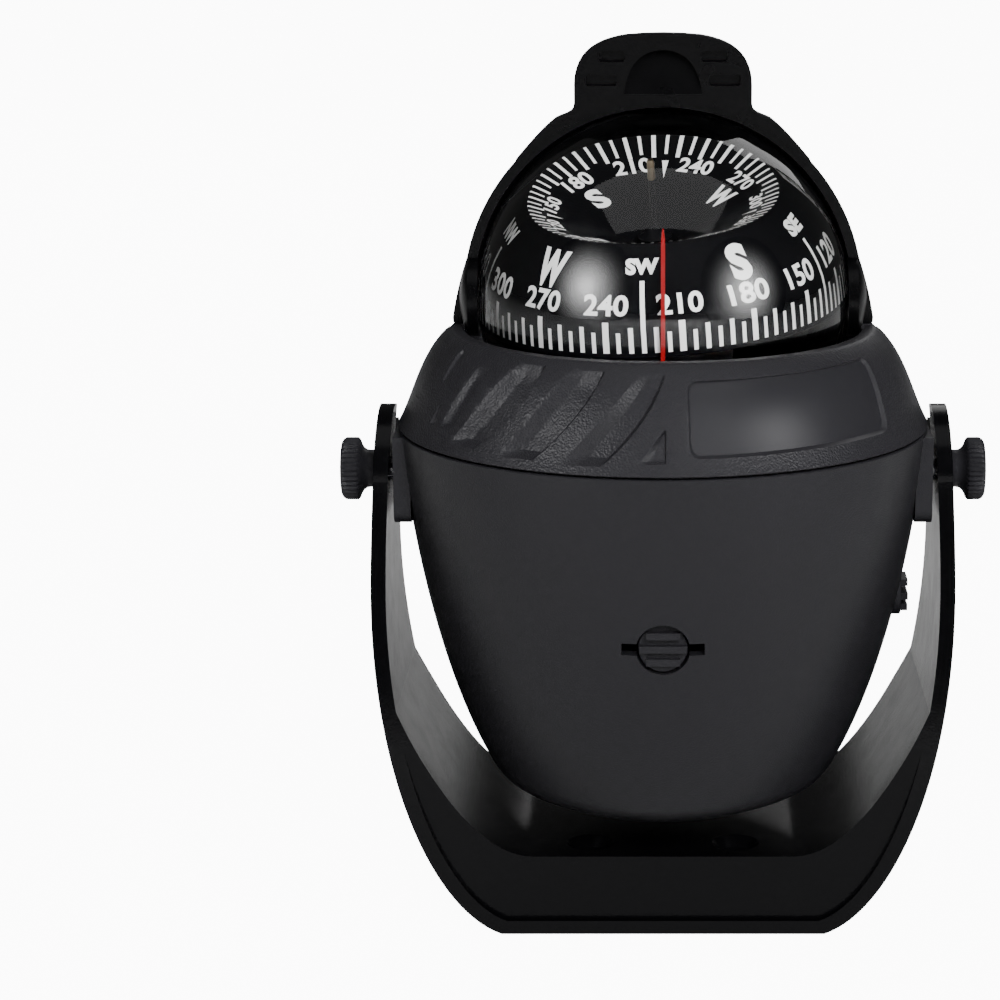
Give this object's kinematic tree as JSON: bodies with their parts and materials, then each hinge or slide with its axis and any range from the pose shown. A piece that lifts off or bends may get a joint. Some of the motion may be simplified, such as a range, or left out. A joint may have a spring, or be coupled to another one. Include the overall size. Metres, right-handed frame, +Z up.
{
  "type": "bracket-mounted marine compass",
  "caption": "Liquid-filled dash compass with a clear dome, floating card and roll-over hood, tilting in a U bracket with side thumbscrews.",
  "frame": {"origin": "centre of the bracket's underside", "axes": "+Z up; the lubber line and the front of the compass face -Y; the tilt axis runs along X"},
  "size_m": [0.0858, 0.0704, 0.1173],
  "materials": {
    "case_black": "fine satin moulded texture",
    "bezel_black": "leather-grain moulded texture",
    "bracket_black": "smooth satin moulding",
    "hood_black": "semi-gloss moulding",
    "inner_black": "matt moulding",
    "clear": "clear polished acrylic",
    "card_black": "satin black with white print",
    "foam_grey": "closed-cell foam",
    "red": "bright red moulding",
    "brass": "turned",
    "steel": "bright zinc plated",
    "magnet_grey": "plated magnet",
    "rubber": "matt",
    "amber": "clear amber epoxy"
  },
  "bodies": {
    "bracket": {"bracket": "bracket_black"},
    "compass": {"lower_housing": "case_black", "bezel_ring": "bezel_black", "dome": "clear", "dome_seal": "rubber", "capsule": "inner_black", "capsule_screw_1": "steel", "capsule_screw_2": "steel", "capsule_screw_3": "steel", "capsule_screw_4": "steel", "diaphragm": "rubber", "diaphragm_ring": "inner_black", "fill_plug": "brass", "pivot_post": "inner_black", "pivot_pin": "steel", "lubber_line": "red", "lamp": "amber", "compensator_carrier": "inner_black", "lead_grommet": "rubber", "thread_insert_left": "brass", "thread_insert_right": "brass", "tooth_washer_left": "inner_black", "tooth_washer_right": "inner_black"},
    "hood": {"hood": "hood_black"},
    "card": {"card": "card_black", "float": "foam_grey", "magnet_carrier": "inner_black", "magnet_front": "magnet_grey", "magnet_rear": "magnet_grey", "jewel_cup": "brass", "card_post": "brass"},
    "knob_left": {"knob_left": "case_black", "knob_stud_left": "steel"},
    "knob_right": {"knob_right": "case_black", "knob_stud_right": "steel"},
    "compensator_front": {"compensator_front_plug": "case_black", "compensator_front_magnet": "magnet_grey"},
    "compensator_side": {"compensator_side_plug": "case_black", "compensator_side_magnet": "magnet_grey"}
  },
  "joints": [
    {"name": "tilt", "type": "hinge", "parent": "bracket", "child": "compass", "pos_m": [0, 0, 0.0595], "axis": [1, 0, 0], "range_deg": [-75, 75]},
    {"name": "hood_roll", "type": "hinge", "parent": "compass", "child": "hood", "pos_m": [0, 0, 0.0827], "axis": [1, 0, 0], "range_deg": [0, 75]},
    {"name": "card_spin", "type": "hinge", "parent": "compass", "child": "card", "pos_m": [0, 0, 0.0767], "axis": [-0.0628, -0.0748, 0.9952], "continuous": true},
    {"name": "knob_left_turn", "type": "hinge", "parent": "compass", "child": "knob_left", "pos_m": [-0.0415, 0, 0.0595], "axis": [-1, 0, 0], "continuous": true},
    {"name": "knob_right_turn", "type": "hinge", "parent": "compass", "child": "knob_right", "pos_m": [0.0415, 0, 0.0595], "axis": [1, 0, 0], "continuous": true},
    {"name": "compensator_front_turn", "type": "hinge", "parent": "compass", "child": "compensator_front", "pos_m": [0, -0.031, 0.0433], "axis": [0, -1, 0], "continuous": true},
    {"name": "compensator_side_turn", "type": "hinge", "parent": "compass", "child": "compensator_side", "pos_m": [0.032, 0, 0.0425], "axis": [1, 0, 0], "continuous": true}
  ]
}
